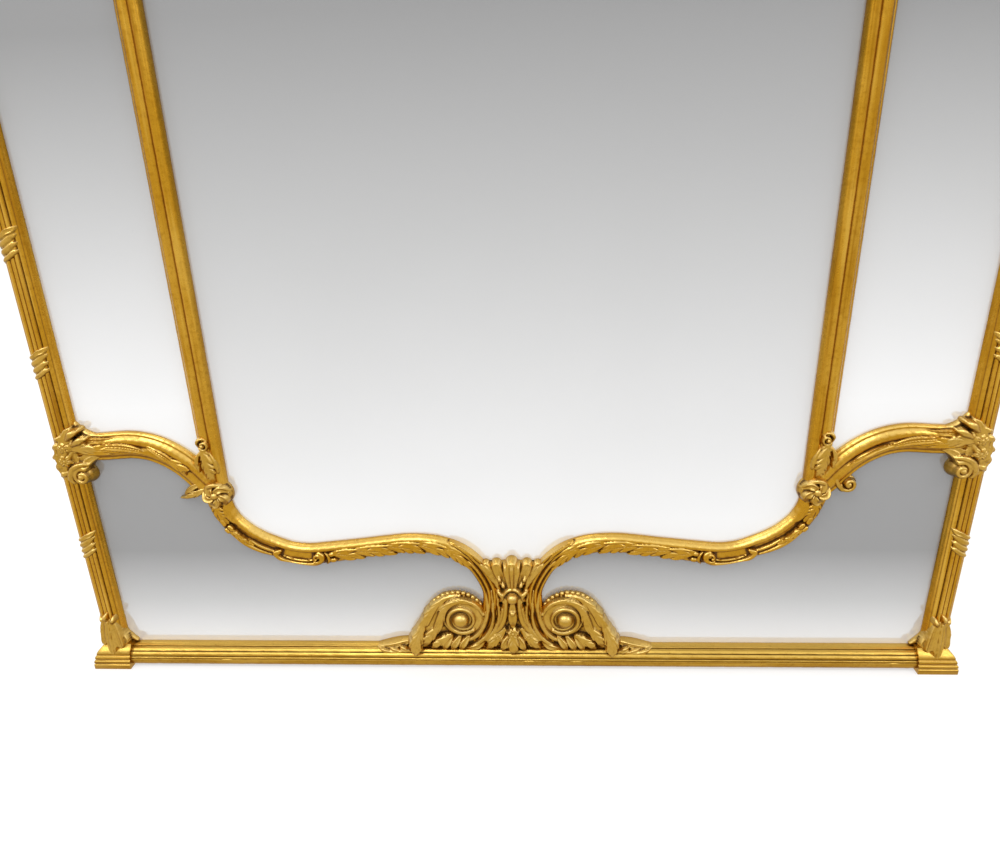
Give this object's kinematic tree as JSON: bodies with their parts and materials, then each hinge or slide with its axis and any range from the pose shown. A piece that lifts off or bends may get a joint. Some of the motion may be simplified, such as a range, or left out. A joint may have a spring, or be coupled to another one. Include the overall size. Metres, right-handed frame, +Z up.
{
  "type": "overmantel mirror",
  "caption": "Tall gilt sectional overmantel mirror: reeded outer frame on plinth blocks, scrolling inner rails, carved centre volutes, shaped top with shell crest.",
  "frame": {"origin": "midway between the two plinth blocks, on the surface they stand on, at mid-depth", "axes": "+Z up, +X to the viewer's right when facing the glass, -Y out of the front, +Y towards the wall"},
  "size_m": [1.53, 0.074, 2.021],
  "materials": {
    "gilt": "burnished gold leaf over gesso on carved wood, rubbed in the hollows",
    "mirror": "silvered plate glass",
    "backing_wood": "unpolished softwood boards",
    "hanger_brass": "dull brass sheet",
    "hanger_steel": "bright steel wire and screws"
  },
  "bodies": {
    "frame": {"base_rail": "gilt", "plinth_block_left": "gilt", "plinth_block_right": "gilt", "outer_stile_left": "gilt", "outer_stile_right": "gilt", "inner_stile_left": "gilt", "inner_stile_right": "gilt", "arch_rail_left": "gilt", "arch_rail_right": "gilt", "scroll_rail_left": "gilt", "scroll_rail_right": "gilt", "centre_cartouche": "gilt", "base_volute_left": "gilt", "base_volute_right": "gilt", "base_spray_left": "gilt", "base_spray_right": "gilt", "foot_leaf_left": "gilt", "foot_leaf_right": "gilt", "junction_scroll_left": "gilt", "junction_scroll_right": "gilt", "stile_knuckle_left": "gilt", "stile_knuckle_right": "gilt", "stile_leaf_left": "gilt", "stile_leaf_right": "gilt", "top_rail_left": "gilt", "top_rail_right": "gilt", "upper_arch_rail_left": "gilt", "upper_arch_rail_right": "gilt", "upper_scroll_rail_left": "gilt", "upper_scroll_rail_right": "gilt", "upper_cartouche": "gilt", "crest_shell": "gilt", "crest_spray_left": "gilt", "crest_spray_right": "gilt", "upper_junction_scroll_left": "gilt", "upper_junction_scroll_right": "gilt", "upper_knuckle_left": "gilt", "upper_knuckle_right": "gilt", "centre_plate": "mirror", "side_plate_left": "mirror", "side_plate_right": "mirror", "lower_plate_left": "mirror", "lower_plate_right": "mirror", "upper_plate_left": "mirror", "upper_plate_right": "mirror", "centre_backboard": "backing_wood", "side_backboard_left": "backing_wood", "side_backboard_right": "backing_wood", "lower_batten": "backing_wood", "upper_batten": "backing_wood", "hanger_strap_left": "hanger_brass", "hanger_strap_right": "hanger_brass", "hanger_screw_1_left": "hanger_steel", "hanger_screw_1_right": "hanger_steel", "hanger_screw_2_left": "hanger_steel", "hanger_screw_2_right": "hanger_steel"},
    "ring_left": {"hanger_ring_left": "hanger_steel"},
    "ring_right": {"hanger_ring_right": "hanger_steel"}
  },
  "joints": [
    {"name": "ring_left_swing", "type": "hinge", "parent": "frame", "child": "ring_left", "pos_m": [-0.47, 0.0336, 1.48], "axis": [1, 0, 0], "range_deg": [0, 175]},
    {"name": "ring_right_swing", "type": "hinge", "parent": "frame", "child": "ring_right", "pos_m": [0.47, 0.0336, 1.48], "axis": [1, 0, 0], "range_deg": [0, 175]}
  ]
}
